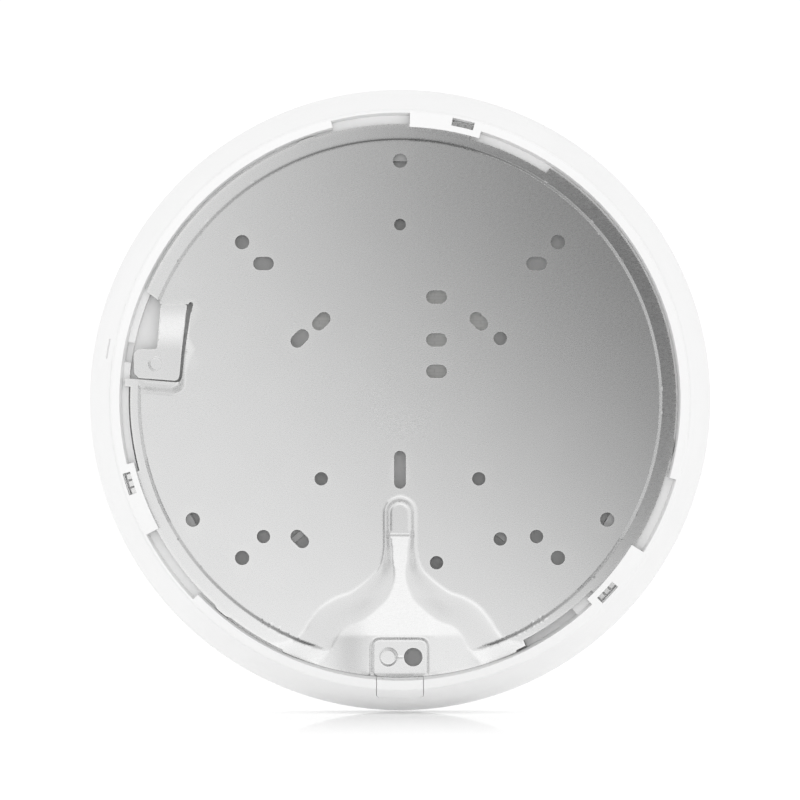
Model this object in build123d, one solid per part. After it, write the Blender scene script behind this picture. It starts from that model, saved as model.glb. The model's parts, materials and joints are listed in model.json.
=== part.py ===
from build123d import *

import os
from math import cos, radians, sin

# Ceiling access point, latched on its steel mounting plate.
# Millimetres. Z = 0 is the ceiling plane, +Z points up into the ceiling, and the
# front face looks down. The cable exit is at -Y and the lock tongue is at -X.

# ---------------------------------------------------------------- overall sizes
OUTER_R = 98.5          # widest radius, where the two housings meet
TOTAL_H = 35.0          # ceiling plane to the middle of the front face
SPLIT_Z = -24.0         # joint line between rear housing and front cover
WALL = 2.0              # plastic wall
GAP = 0.15              # fitting gap between loose plastic pieces

# ---------------------------------------------------------------- rear housing
RIM_Z = -0.4            # the rim stays just clear of the ceiling
RIM_OUT_R = 90.5
RIM_IN_R = 88.0
RIM_FOOT_R = 87.3       # drafted inner wall, where it meets the ledge
ENTRY_R = 90.1          # the wall is wider where the plate's tabs go in
ENTRY_FOOT_R = 89.4
LUG_IN_R = 85.7
LUG_T = 2.0
LEDGE_Z = -4.2
LEDGE_IN_R = 75.0
FLOOR_Z = -6.5
FLOOR_T = 1.8
FAN_Z = -7.1            # slightly deeper floor round the cable exit
DEEP_Z = -9.0           # deep stretch under the tray
DEEP_IN_R = 68.0
FAN_R = 49.7
FAN_Y = -82.0
DEEP_SWEEP = (257, 297.3)   # where the tray's middle channel swings as the unit turns
WING_SWEEP = (245, 309.5)   # where its wings swing

# ---------------------------------------------------------------- bayonet
GROUPS = (0, 120, 240)  # three equal bayonet groups round Z
LUG_ARC = (73.2, 88.0)
ENTRY_ARC = (88.0, 103.9)
WINDOW_ARC = (74.9, 79.4)
WINDOW_R = (87.6, 90.0)
RELIEF_ARC = (57.2, 75.3)
TAB_ARC = (75.3, 86.8)
TAB_SLOT_ARCS = ((76.4, 76.8), (77.9, 78.3))
NUB_ANGLE = 110.0

# ---------------------------------------------------------------- mounting plate
SHEET = 1.2
DISC_R = 81.6          # the flat disc ends here
FOOT_R = 84.3          # its sloping edge meets the flange here
FLANGE_Z = -2.6
FLANGE_R = 86.6
RELIEF_R = 84.7
TAB_R = 89.0
NUB_R = 87.2
SCREW_R = 2.25          # wide screw holes
BOX_R = 2.1             # electrical box holes
PILOT_R = 1.85
SLOT_L = 6.5
OUTER_PCD_R = 75.0
SQUARE_PCD_R = 70.0
OCTAGON = 31.43         # half the side of the 88.9 mm diagonal box pattern
OCTAGON_Y = -12.13
ROUND_BOX = 24.695      # half the side of the 69.85 mm diagonal box pattern
SQUARE_BOX = 42.8
GANG_X = 11.45
GANG_HOLE_Y = -51.0
GANG_SLOTS_Y = (32.3, 18.85, 9.0)

# cable tray pressed in the plate
GROOVE_W = 9.1
GROOVE_TOP_Y = -30.8
GROOVE_Z = -1.7
TRAY_Z = -6.0
TRAY_SLOPE_Y = (-42.3, -74.0)
TRAY_R = 87.0
TRAY_FLANK = ((4.55, -52.0), (12.3, -61.6), (21.6, -64.0), (30.4, -74.2), (31.6, -92.0))
TRAY_FLANK_RADII = (9.0, 9.0, 12.0, 6.0, 0)
WING_Z = -4.4           # the tray's floor beside its middle channel
CHANNEL_HALF = 14.0
POCKET_HALF = 8.9
POCKET_TOP_Y = -74.95
POCKET_DEPTH = 0.9
CABLE_HOLE = (4.15, -80.9)
CABLE_HOLE_R = 2.93
KNOCKOUT = (-3.7, -80.9)
KNOCKOUT_R = (2.95, 2.1)
KNOCKOUT_H = 0.6

# lock tongue and its window
TONGUE_ROOT_Y = 30.0
TONGUE_LEVEL_Y = 16.0
TONGUE_OUTLINE = ((-75.0, 30.0), (-66.2, 30.0), (-68.2, 14.9), (-68.9, 7.6), (-70.6, 6.0),
                  (-82.0, 6.9), (-83.5, 8.4), (-83.5, 14.8), (-82.2, 16.0), (-76.2, 16.0))
TONGUE_WINDOW = ((-88.0, 35.2), (-79.7, 34.1), (-76.2, 31.6), (-75.0, 30.0), (-66.2, 30.0),
                 (-65.2, 30.0), (-67.5, 14.9), (-68.4, 7.3), (-70.4, 5.55), (-92.0, 7.25))
WINDOW_SHELF = ((-90.0, 9.0), (-68.6, 9.0), (-68.7, 5.0), (-70.6, 3.2), (-90.0, 4.9))
SHELF_WALL = ((-90.0, 9.0), (-67.2, 9.0), (-67.4, 4.1), (-70.0, 1.9), (-90.0, 3.7))
DIMPLE = (-76.7, 11.3)
DIMPLE_R = 2.15

# ---------------------------------------------------------------- cable exit
EXIT_HALF = 7.45
EXIT_Z = -6.6
RELEASE_ANGLE = 170.0
RELEASE_W = 6.2
RELEASE_Z = (-5.6, -4.4)

# the ledge is cut away where the tongue dips and swings, with a stop rib in that room
TONGUE_ROOM_ARC = (153.0, 195.0)
TONGUE_ROOM_R = 85.2
RIB_ANGLE = 176.2
RIB_W = 1.3
RIB_Z = -4.15

# ---------------------------------------------------------------- inside stack
PCB_Z = -22.0
PCB_T = 1.6
PCB_R = 60.0
CAN_H = 4.0
PAD_T = 1.0
SINK_T = 2.6
SINK_SCREWS = ((50, 8), (-50, 8), (0, 30), (30, -16), (-30, -16))
JACK = (16.0, 21.3, 13.3)
JACK_Y = -30.0
WELL_HALF = 9.2
WELL_Y = (-62.0, -30.5)
WELL_Z = -20.3
STEP_Y = (-84.5, -61.0)     # a shallower step of the well runs out under the tray's cable hole
STEP_Z = -14.0
POST_XY = ((46, 32), (-46, 32), (-46, -32), (46, -32))
BOSS_R = 66.0
BOSS_ANGLES = (30, 90, 150, 210, 330)
RESET_XY = (17.0, -30.0)
RESET_TRAVEL = 0.5
CARRIER_Z = -24.2
CARRIER_R = (70.2, 87.0)
CARRIER_T = 1.5
CARRIER_POSTS = (0, 90, 180, 270)
CARRIER_POST_R = 78.5
ANTENNA_24_ANGLES = (22.5, 112.5, 202.5, 292.5)
ANTENNA_5_ANGLES = (67.5, 157.5, 247.5, 337.5)
COAX_R = 0.57
LIGHT_R = (23.0, 26.2)
LED_BOARD_Z = -26.3
FACE_RING_Z = -34.9

SHANK_R = 1.2
HEAD_R = 2.6
HEAD_H = 1.6


# ================================================================ helpers
def polar(radius, angle, z=0.0):
    """A point at a radius and an angle in degrees."""
    return Vector(radius * cos(radians(angle)), radius * sin(radians(angle)), z)


def spot(radius, angle):
    """The x and y of a point at a radius and an angle in degrees."""
    return radius * cos(radians(angle)), radius * sin(radians(angle))


def turned(points, start=0.0, end=360.0):
    """The closed (r, z) outline turned about Z from one angle to another."""
    face = make_face(Polyline(*[(r, 0, z) for r, z in points], close=True))
    return Rot(0, 0, start) * revolve(face, Axis.Z, end - start)


def prism(points, low, high):
    """The closed (x, y) outline between two heights."""
    face = make_face(Polyline(*points, close=True))
    return Pos(0, 0, low) * extrude(face, high - low, dir=(0, 0, 1))


def rod(x, y, low, high, radius):
    """An upright cylinder between two heights."""
    return Pos(x, y, (low + high) / 2) * Cylinder(radius, high - low)


def block(x, y, low, high, size_x, size_y):
    """An upright box between two heights, centred at x and y."""
    return Pos(x, y, (low + high) / 2) * Box(size_x, size_y, high - low)


def slot(x, y, angle, length, radius, low, high):
    """A round-ended slot through the sheet, centred at x and y."""
    sketch = Pos(x, y, low) * (Rot(0, 0, angle) * SlotOverall(length, 2 * radius))
    return extrude(sketch, high - low, dir=(0, 0, 1))


def screw(x, y, seat, length, up=True):
    """A pan-head screw whose head rests on the seat; its shank points away from the head."""
    way = -1 if up else 1
    shank = rod(x, y, min(seat, seat + way * length), max(seat, seat + way * length), SHANK_R)
    low, high = sorted((seat, seat - way * HEAD_H))
    head = rod(x, y, low, high, HEAD_R)
    drive_low, drive_high = sorted((seat - way * HEAD_H, seat - way * HEAD_H * 0.4))
    return head + shank - block(x, y, drive_low, drive_high, 2.8, 0.6) \
        - block(x, y, drive_low, drive_high, 0.6, 2.8)


# ================================================================ mounting plate
def tray_outline(grow=0.0):
    """The tray's plan: a round-ended groove that flares to the rim, as one face."""
    half = GROOVE_W / 2
    right = [(half, GROOVE_TOP_Y), *TRAY_FLANK]
    radii = [half - 0.05, *TRAY_FLANK_RADII]
    outline = right + [(-x, y) for x, y in reversed(right)]
    face = make_face(FilletPolyline(*outline, radius=radii + radii[::-1], close=True))
    return offset(face, grow) if grow else face


def above_slope(level, half_width, drop):
    """Everything above a floor that slopes from the groove down to a level, lowered by drop."""
    (slope_start, slope_end) = TRAY_SLOPE_Y
    outline = [(-20.0, GROOVE_Z - drop), (slope_start, GROOVE_Z - drop), (slope_end, level - drop),
               (-100.0, level - drop), (-100.0, 5.0), (-20.0, 5.0)]
    face = make_face(Polyline(*[(0, y, z) for y, z in outline], close=True))
    return extrude(face, half_width, both=True)


def above_floor(drop):
    """Everything above the tray's floor: shallow wings beside a deeper middle channel."""
    return above_slope(WING_Z, 100.0, drop) + above_slope(TRAY_Z, CHANNEL_HALF + drop, drop)


def pocket_face(grow):
    """The cable pocket's plan, rounded at its inner corners."""
    half = POCKET_HALF + grow
    height = 20.0
    rectangle = Pos(0, POCKET_TOP_Y + grow - height / 2) * RectangleRounded(2 * half, height, 2.8 + grow)
    return rectangle


def pressed_hat():
    """The disc, its sloping edge and the flange, with bayonet tabs and nubs added and reliefs cut."""
    low, high = FLANGE_Z - SHEET, FLANGE_Z
    lean = SHEET / 2
    hat = turned([(0, 0), (DISC_R, 0), (FOOT_R, high), (FLANGE_R, high), (FLANGE_R, low),
                  (FOOT_R - lean, low), (DISC_R - lean, -SHEET), (0, -SHEET)])
    for turn in GROUPS:
        relief = [(RELIEF_R, low), (95, low), (95, high), (RELIEF_R, high)]
        hat = hat - turned(relief, RELIEF_ARC[0] + turn, RELIEF_ARC[1] + turn)
        tab = turned([(86, low), (TAB_R, low), (TAB_R, high), (86, high)],
                     TAB_ARC[0] + turn, TAB_ARC[1] + turn)
        for start, end in TAB_SLOT_ARCS:
            tab = tab - turned([(87.0, low), (95, low), (95, high), (87.0, high)],
                               start + turn, end + turn)
        nub = Rot(0, 0, NUB_ANGLE + turn) * prism(
            ((85, -3.4), (FLANGE_R - 0.3, -3.4), (NUB_R, -1.6), (NUB_R, 1.6),
             (FLANGE_R - 0.3, 3.4), (85, 3.4)), low, high)
        hat = hat + tab + nub
    return hat


def screw_holes():
    """Every screw hole and slot in the plate."""
    low, high = -12.0, 2.0
    holes = [rod(*spot(OUTER_PCD_R, angle), low, high, SCREW_R) for angle in (90, 210, 330)]
    holes += [rod(*spot(SQUARE_PCD_R, angle), low, high, SCREW_R) for angle in (45, 135, 225, 315)]
    holes += [rod(x, y, low, high, BOX_R) for x, y in (
        (OCTAGON, OCTAGON_Y + OCTAGON), (OCTAGON, OCTAGON_Y - OCTAGON),
        (ROUND_BOX, -ROUND_BOX), (-ROUND_BOX, -ROUND_BOX),
        (SQUARE_BOX, -SQUARE_BOX), (-SQUARE_BOX, -SQUARE_BOX), (GANG_X, GANG_HOLE_Y))]
    holes.append(rod(0, 55.0, low, high, PILOT_R))
    tangent_slots = ((-OCTAGON, OCTAGON_Y + OCTAGON, 45), (-OCTAGON, OCTAGON_Y - OCTAGON, -45),
                     (-ROUND_BOX, ROUND_BOX, 45), (ROUND_BOX, ROUND_BOX, -45))
    level_slots = [(SQUARE_BOX, SQUARE_BOX, 0), (-SQUARE_BOX, SQUARE_BOX, 0)]
    level_slots += [(GANG_X, y, 0) for y in GANG_SLOTS_Y]
    holes += [slot(x, y, angle, SLOT_L, BOX_R, low, high) for x, y, angle in (*tangent_slots, *level_slots)]
    holes.append(slot(0, -21.85, 90, 11.9, PILOT_R, low, high))
    return holes


def mounting_plate():
    """Pressed steel plate: raised disc, bayonet flange, cable tray and tongue window."""
    hat = pressed_hat()
    # The tray: an outer form of sheet thickness, hollowed by the inner form.
    outer = Pos(0, 0, -20) * extrude(tray_outline(SHEET), 20, dir=(0, 0, 1))
    outer = outer & above_floor(SHEET)
    seam = SHEET / 3
    outer = outer & turned([(0, -20), (TRAY_R, -20), (TRAY_R, FLANGE_Z - seam), (FOOT_R, FLANGE_Z - seam),
                            (DISC_R, -seam), (0, -seam)])
    pocket_low = TRAY_Z - POCKET_DEPTH
    pocket_outer = Pos(0, 0, pocket_low - SHEET) * extrude(pocket_face(SHEET / 2), SHEET + POCKET_DEPTH)
    pocket_outer = pocket_outer & rod(0, 0, -20, 0, TRAY_R)
    inner = Pos(0, 0, -20) * extrude(tray_outline(), 25, dir=(0, 0, 1))
    inner = inner & above_floor(0.0)
    pocket_inner = Pos(0, 0, pocket_low) * extrude(pocket_face(-SHEET / 2), 6.0)
    plate = hat + outer + pocket_outer - inner - pocket_inner
    # Knock-out boss and cable hole in the pocket.
    boss = Pos(*KNOCKOUT, pocket_low + KNOCKOUT_H / 2) * Cone(*KNOCKOUT_R, KNOCKOUT_H)
    dent = Pos(*KNOCKOUT, pocket_low - SHEET + KNOCKOUT_H / 2) * Cone(*KNOCKOUT_R, KNOCKOUT_H)
    plate = plate + boss - dent
    plate = plate - rod(*CABLE_HOLE, -12, 0, CABLE_HOLE_R)
    for hole in screw_holes():
        plate = plate - hole
    # Below the lock tongue's window the disc steps down to a shelf at the flange's level.
    flange_low = FLANGE_Z - SHEET
    wall = prism(SHELF_WALL, flange_low, -0.05) & rod(0, 0, -10, 0, DISC_R - 0.1)
    plate = plate + wall - prism(WINDOW_SHELF, FLANGE_Z, 1) - prism(TONGUE_WINDOW, -6, 1)
    return plate - slot(-65.75, 29.0, 80, 3.5, 0.65, -6, 1)


def lock_tongue():
    """Spring tongue with a locking ear; it slopes down from the disc to the flange's level."""
    outline = [(-10.0, FLANGE_Z), (TONGUE_LEVEL_Y, FLANGE_Z), (TONGUE_ROOT_Y, 0), (TONGUE_ROOT_Y, -SHEET),
               (TONGUE_LEVEL_Y, FLANGE_Z - SHEET), (-10.0, FLANGE_Z - SHEET)]
    strip = extrude(make_face(Polyline(*[(-75, y, z) for y, z in outline], close=True)), 30, both=True)
    tongue = strip & prism(TONGUE_OUTLINE, -10, 1)
    dimple = Pos(*DIMPLE, FLANGE_Z) * Cylinder(DIMPLE_R, 0.5)
    return tongue - dimple


# ================================================================ rear housing
def flank_profile():
    """The (r, z) wires of the rear housing's outside, from the rim down to the split."""
    lip = ThreePointArc((RIM_OUT_R, 0, RIM_Z), (91.0, 0, -0.55), (91.3, 0, -1.1))
    side = ThreePointArc((91.3, 0, -1.1), (95.9, 0, -12.2), (OUTER_R, 0, SPLIT_Z))
    return [lip, side]


def housing_envelope():
    """The rear housing's outside as one solid."""
    close = Polyline((OUTER_R, 0, SPLIT_Z), (0, 0, SPLIT_Z), (0, 0, RIM_Z), (RIM_OUT_R, 0, RIM_Z))
    return revolve(make_face([*flank_profile(), close]), Axis.Z)


def rim_wall(foot_z, top=1.0):
    """The (r, z) outline of the space inside the rim, down to a given floor."""
    foot = [(0, foot_z), (RIM_FOOT_R, foot_z)]
    if foot_z < LEDGE_Z:
        foot.append((RIM_FOOT_R, LEDGE_Z))
    return foot + [(RIM_IN_R, RIM_Z), (RIM_IN_R, top), (0, top)]


def housing_shell():
    """Rim, flank, ledge and floor, before the bayonet and the cable recess are cut."""
    inside_flank = ThreePointArc((OUTER_R - WALL, 0, SPLIT_Z), (93.7, 0, -12.2), (90.4, 0, -6.0))
    step_r = LEDGE_IN_R + WALL
    under = Polyline((90.4, 0, -6.0), (step_r, 0, -6.0), (step_r, 0, FLOOR_Z - FLOOR_T),
                     (0, 0, FLOOR_Z - FLOOR_T), (0, 0, SPLIT_Z), (OUTER_R - WALL, 0, SPLIT_Z))
    hollow = revolve(make_face([inside_flank, under]), Axis.Z)
    shell = housing_envelope() - hollow
    shell = shell - turned(rim_wall(LEDGE_Z))
    return shell - rod(0, 0, FLOOR_Z, LEDGE_Z, LEDGE_IN_R)


def ring_part(arc, inner_r, low, high, grow):
    """A stretch of the outer ring between two heights, widened by grow."""
    start, end = arc
    inner_r = inner_r - grow
    return turned([(inner_r, low), (95, low), (95, high), (inner_r, high)], start - grow, end + grow)


def cable_recess(grow):
    """Room under the tray: a deep fan in the floor, a deep and a shallow stretch of the ledge."""
    high = 2.0 if grow == 0 else -5.5
    fan_low = FAN_Z - grow
    fan = Pos(0, FAN_Y, (fan_low + high) / 2) * Cylinder(FAN_R + grow, high - fan_low)
    fan = fan & rod(0, 0, -30, 5, LEDGE_IN_R + grow)
    deep = ring_part(DEEP_SWEEP, DEEP_IN_R, DEEP_Z - grow, high, grow)
    wings = ring_part(WING_SWEEP, LEDGE_IN_R - 1.0, FLOOR_Z - grow, high, grow)
    return fan + deep + wings


def rear_housing():
    """White rear housing: rim with three bayonet lugs, ledge, floor, port well and posts."""
    body = housing_shell()
    body = body + (cable_recess(FLOOR_T) & housing_envelope())
    well = block(0, sum(WELL_Y) / 2, WELL_Z - 1.2, FAN_Z, 2 * WELL_HALF + 3, WELL_Y[1] - WELL_Y[0] + 3)
    step = block(0, sum(STEP_Y) / 2, STEP_Z - 1.2, FAN_Z, 2 * WELL_HALF + 3, STEP_Y[1] - STEP_Y[0] + 3)
    body = body + well + step
    body = body - (cable_recess(0.0) & turned(rim_wall(DEEP_Z, 2.0)))
    body = body - block(0, sum(WELL_Y) / 2, WELL_Z, FLOOR_Z + 1, 2 * WELL_HALF, WELL_Y[1] - WELL_Y[0])
    body = body - block(0, sum(STEP_Y) / 2, STEP_Z, FLOOR_Z + 1, 2 * WELL_HALF, STEP_Y[1] - STEP_Y[0])
    jack_low = PCB_Z + 0.4
    body = body - block(0, WELL_Y[1] + 1.0, jack_low, PCB_Z + JACK[2] + 0.2, JACK[0] + 0.4, 4.0)
    for turn in GROUPS:
        lug_low = RIM_Z - LUG_T
        lug_out = RIM_IN_R + 0.6
        lug = [(LUG_IN_R, RIM_Z), (lug_out, RIM_Z), (lug_out, lug_low), (LUG_IN_R, lug_low)]
        entry = [(84, LEDGE_Z), (ENTRY_FOOT_R, LEDGE_Z), (ENTRY_R, RIM_Z), (ENTRY_R, 1), (84, 1)]
        under = [(84, LEDGE_Z), (ENTRY_FOOT_R, LEDGE_Z), (ENTRY_FOOT_R + 0.3, lug_low), (84, lug_low)]
        window = [(WINDOW_R[0], -3), (WINDOW_R[1], -3), (WINDOW_R[1], 1), (WINDOW_R[0], 1)]
        body = body + turned(lug, LUG_ARC[0] + turn, LUG_ARC[1] + turn)
        body = body - turned(entry, ENTRY_ARC[0] + turn, ENTRY_ARC[1] + turn)
        body = body - turned(under, LUG_ARC[0] + turn, LUG_ARC[1] + turn)
        body = body - turned(window, WINDOW_ARC[0] + turn, WINDOW_ARC[1] + turn)
    # Room under the tongue, the stop rib beside its ear and the slot for a release tool.
    start, end = TONGUE_ROOM_ARC
    pan_r = TONGUE_ROOM_R + 1.4
    pan_low = FLOOR_Z - FLOOR_T
    pan = [(LEDGE_IN_R - 1, pan_low), (pan_r, pan_low), (pan_r, -5.5), (LEDGE_IN_R - 1, -5.5)]
    body = body + turned(pan, start - 1, end + 1)
    room = [(LEDGE_IN_R - 1, FLOOR_Z), (TONGUE_ROOM_R, FLOOR_Z), (TONGUE_ROOM_R, 1), (LEDGE_IN_R - 1, 1)]
    body = body - turned(room, start, end)
    body = body + Rot(0, 0, RIB_ANGLE) * block(79.5, 0, FLOOR_Z, RIB_Z, 15.6, RIB_W)
    body = body - Rot(0, 0, RELEASE_ANGLE) * block(92.0, 0, *RELEASE_Z, 14.4, RELEASE_W)
    body = body - Rot(0, 0, RELEASE_ANGLE) * block(86.0, 0, RELEASE_Z[0], LEDGE_Z + 0.2, 2.4, RELEASE_W)
    body = body - exit_opening(0.0)
    # Posts for the board, screw holes for the cover, and the reset hole.
    floor_low = FLOOR_Z - FLOOR_T
    for x, y in POST_XY:
        body = body + rod(x, y, PCB_Z, floor_low, 3.0) - rod(x, y, PCB_Z, PCB_Z + 8, SHANK_R + 0.05)
    for angle in BOSS_ANGLES:
        x, y = spot(BOSS_R, angle)
        body = body - rod(x, y, floor_low, FLOOR_Z, SHANK_R + 0.3)
        body = body - rod(x, y, FLOOR_Z - 1.0, FLOOR_Z, HEAD_R + 0.3)
    for x, y in SINK_SCREWS:
        body = body - rod(x, y, floor_low, floor_low + 1.2, SHANK_R + 0.05)
    return body - rod(*RESET_XY, floor_low, FLOOR_Z, 2.1)


def exit_opening(gap):
    """The cable exit's plug form: a block through the rim with rounded lower edges."""
    half = EXIT_HALF - gap
    low = EXIT_Z + gap
    centre_y = -(RIM_FOOT_R + 6.0)
    plug = block(0, centre_y, low, 2.0, 2 * half, 16.0)
    return fillet(plug.edges().filter_by(Axis.Y).group_by(Axis.Z)[0], 1.8)


def cable_exit_cover():
    """Push-in cover that closes the cable exit and finishes the rim."""
    inside = turned(rim_wall(-12.0, 5.0))
    cover = exit_opening(GAP) & (housing_envelope() - inside)
    hollow = block(0, -88.4, EXIT_Z + GAP + 1.3, RIM_Z - 1.4, 2 * EXIT_HALF - 3.4, 4.2)
    return cover - hollow


def reset_button():
    """Reset plunger: cap in the floor, stop collar below it and a stem to the switch."""
    x, y = RESET_XY
    floor_low = FLOOR_Z - FLOOR_T
    cap = rod(x, y, floor_low - 0.1, FLOOR_Z + 0.2, 2.0)
    collar = rod(x, y, floor_low - 0.9, floor_low - 0.05, 3.0)
    stem = rod(x, y, PCB_Z + 3.2, floor_low - 0.5, 1.1)
    return cap + collar + stem


# ================================================================ front cover and light
def front_cover():
    """White front cover with the light ring's opening, screw bosses and carrier posts."""
    outer = [(0, 0, -TOTAL_H), (45, 0, -34.75), (80, 0, -33.3), (93, 0, -30.0), (OUTER_R, 0, SPLIT_Z)]
    outside = Spline(*outer, tangents=[(1, 0, 0), (0, 0, 1)])
    close_out = Polyline((OUTER_R, 0, SPLIT_Z), (0, 0, SPLIT_Z), (0, 0, -TOTAL_H))
    inner_r = OUTER_R - WALL
    inner = [(0, 0, -33.0), (45, 0, -32.75), (79, 0, -31.4), (91.2, 0, -28.6), (inner_r, 0, SPLIT_Z)]
    inside = Spline(*inner, tangents=[(1, 0, 0), (0, 0, 1)])
    close_in = Polyline((inner_r, 0, SPLIT_Z), (0, 0, SPLIT_Z), (0, 0, -33.0))
    cavity = revolve(make_face([inside, close_in]), Axis.Z)
    cover = revolve(make_face([outside, close_out]), Axis.Z) - cavity
    cover = cover + turned([(94.0, -28.5), (95.8, -28.5), (95.8, -22.0), (94.0, -22.0)])
    room = rod(0, 0, -40, 0, 90) + cavity + rod(0, 0, SPLIT_Z, 0, 100)
    for angle in BOSS_ANGLES:
        x, y = spot(BOSS_R, angle)
        boss = rod(x, y, -33.5, FLOOR_Z - FLOOR_T, 3.4) & room
        cover = cover + boss - rod(x, y, -20, FLOOR_Z - FLOOR_T, SHANK_R + 0.05)
    for angle in CARRIER_POSTS:
        x, y = spot(CARRIER_POST_R, angle)
        cover = cover + rod(x, y, -32.6, CARRIER_Z - CARRIER_T, 2.6)
        cover = cover - rod(x, y, -30.5, CARRIER_Z - CARRIER_T, SHANK_R + 0.05)
    cover = cover - rod(0, 0, -40, -20, LIGHT_R[1] + 0.1)
    return cover


def light_ring():
    """Translucent light guide, flush with the front face, with a flange behind the cover."""
    low, high = FACE_RING_Z, -29.0
    ring = turned([(LIGHT_R[0], low), (LIGHT_R[1], low), (LIGHT_R[1], high), (LIGHT_R[0], high)])
    flange = turned([(20.0, -32.9), (LIGHT_R[0], -32.9), (LIGHT_R[0], -31.5), (20.0, -31.5)])
    shoulder = turned([(LIGHT_R[1], -32.85), (29.0, -32.8), (29.0, -31.5), (LIGHT_R[1], -31.5)])
    return ring + flange + shoulder


def centre_cap():
    """Plain round cap inside the light ring."""
    cap = rod(0, 0, FACE_RING_Z, -33.0, LIGHT_R[0] - 0.1)
    stub = rod(0, 0, -33.0, -31.4, 19.9) - rod(0, 0, -33.0, -31.4, 18.4)
    return cap + stub


# ================================================================ boards and electronics
def main_board():
    """Round main board with holes for its posts."""
    board = rod(0, 0, PCB_Z - PCB_T, PCB_Z, PCB_R)
    for x, y in POST_XY:
        board = board - rod(x, y, -30, -10, SHANK_R + 0.3)
    return board


def ethernet_jack():
    """Shielded jack, hollow from its mouth, which faces the cable exit."""
    width, depth, height = JACK
    shell = block(0, JACK_Y + depth / 2, PCB_Z, PCB_Z + height, width, depth)
    mouth = block(0, JACK_Y + 7.0, PCB_Z + 1.6, PCB_Z + 10.0, 11.9, 16.0)
    key = block(0, JACK_Y + 7.0, PCB_Z + 10.0, PCB_Z + 12.0, 6.2, 16.0)
    return shell - mouth - key


def jack_contacts():
    """Eight sprung contacts along the roof of the jack."""
    pitch = 1.02
    return [block((n - 3.5) * pitch, JACK_Y + 10.0, PCB_Z + 1.6, PCB_Z + 2.4, 0.45, 8.0) for n in range(8)]


CAN_PLACES = ((-24, 22, 34, 26), (24, 22, 30, 26), (0, 46, 26, 14))
CHIP_PLACES = ((-24, 22, 15, 15), (18, 20, 10, 10), (31, 24, 8, 8))


def shield_cans():
    """Pressed shield cans, hollow over their chips."""
    cans = []
    for x, y, width, depth in CAN_PLACES:
        can = block(x, y, PCB_Z, PCB_Z + CAN_H, width, depth)
        cans.append(can - block(x, y, PCB_Z, PCB_Z + CAN_H - 0.3, width - 0.6, depth - 0.6))
    return cans


def thermal_pads():
    """Soft pads between the shield cans and the heat sink."""
    top = PCB_Z + CAN_H
    pads = []
    for x, y, width, depth in CAN_PLACES:
        pads.append(block(x, y, top, top + PAD_T, width - 8, min(depth - 4, 20)))
    return pads


def heat_sink():
    """Die-cast plate against the floor, with a ribbed face and a pedestal on each pad."""
    top = FLOOR_Z - FLOOR_T
    plate = rod(0, 0, top - SINK_T, top, 58.0)
    for x, y, width, depth in CAN_PLACES:
        plate = plate + block(x, y, PCB_Z + CAN_H + PAD_T, top, width - 6, min(depth - 2, 22))
    for n in range(-3, 4):
        plate = plate + block(n * 6.0, -2.0, top - 6.0, top, 1.6, 16.0)
    plate = plate - block(0, -44, -30, 0, 2 * WELL_HALF + 6, 75)
    plate = plate - (Pos(0, FAN_Y, -15) * Cylinder(FAN_R + 2.6, 30))
    for x, y in POST_XY:
        plate = plate - rod(x, y, -30, 0, 3.4)
    for x, y in SINK_SCREWS:
        plate = plate - rod(x, y, -30, 0, SHANK_R + 0.3)
    return plate - rod(*RESET_XY, -30, 0, 3.6)


def heat_sink_screws():
    """Screws that hold the heat sink up to the floor."""
    return [screw(x, y, FLOOR_Z - FLOOR_T - SINK_T, 3.7, up=False) for x, y in SINK_SCREWS]


def small_parts():
    """Rows of small board components."""
    parts = []
    for row, y in enumerate((-14.0, -18.0, -40.0, -44.0)):
        for n in range(6):
            x = 22.0 + n * 3.4 + (row % 2) * 1.2
            parts.append(block(x, y, PCB_Z, PCB_Z + 0.9, 1.6, 0.9))
            parts.append(block(-x, y, PCB_Z, PCB_Z + 0.9, 1.6, 0.9))
    return parts


def coil_blocks():
    """Power inductors beside the jack."""
    coils = []
    for x, y in ((-22, -26), (-30, -26), (-22, -33)):
        coils.append(fillet(block(x, y, PCB_Z, PCB_Z + 4.0, 6.6, 6.2).edges().filter_by(Axis.Z), 1.0))
    return coils


def capacitors():
    """Upright electrolytic capacitors with their plastic feet."""
    return [rod(x, y, PCB_Z, PCB_Z + 7.5, 3.1) for x, y in ((28, -31), (37, -27), (-38, -33))]


def reset_switch():
    """Tact switch under the reset plunger."""
    x, y = RESET_XY
    return block(x, y, PCB_Z, PCB_Z + 3.6, 6, 6) - rod(x, y, PCB_Z + 2.4, PCB_Z + 3.6, 1.4)


def coax_connectors():
    """Round board sockets for the antenna leads."""
    return [rod(*spot(54, angle), PCB_Z, PCB_Z + 1.5, 1.5) for angle in
            (*ANTENNA_24_ANGLES, *ANTENNA_5_ANGLES)]


def coax_leads():
    """One thin lead from each socket to its antenna."""
    leads = []
    for angle in (*ANTENNA_24_ANGLES, *ANTENNA_5_ANGLES):
        high, low = PCB_Z + 0.8, CARRIER_Z + COAX_R
        points = [polar(r, angle, z) for r, z in ((55.5, high), (63.0, high), (67.5, low), (73.0, low))]
        path = FilletPolyline(*points, radius=4.0)
        section = Plane(origin=path @ 0, z_dir=path % 0) * Circle(COAX_R)
        leads.append(sweep(section, path))
    return leads


def antenna(angle, width, height, depth):
    """A folded metal antenna: foot, upright and radiating top, standing on the carrier."""
    metal = 0.4
    radius = 73.2 + depth / 2
    foot = block(radius, 0, CARRIER_Z, CARRIER_Z + metal, depth, width)
    upright = block(radius + depth / 2 - metal / 2, 0, CARRIER_Z, CARRIER_Z + height, metal, width)
    top = block(radius, width / 8, CARRIER_Z + height - metal, CARRIER_Z + height, depth, width * 0.75)
    return Rot(0, 0, angle) * (foot + upright + top)


def antennas_24ghz():
    """Four large antennas."""
    return [antenna(angle, 22.0, 11.0, 7.5) for angle in ANTENNA_24_ANGLES]


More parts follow.
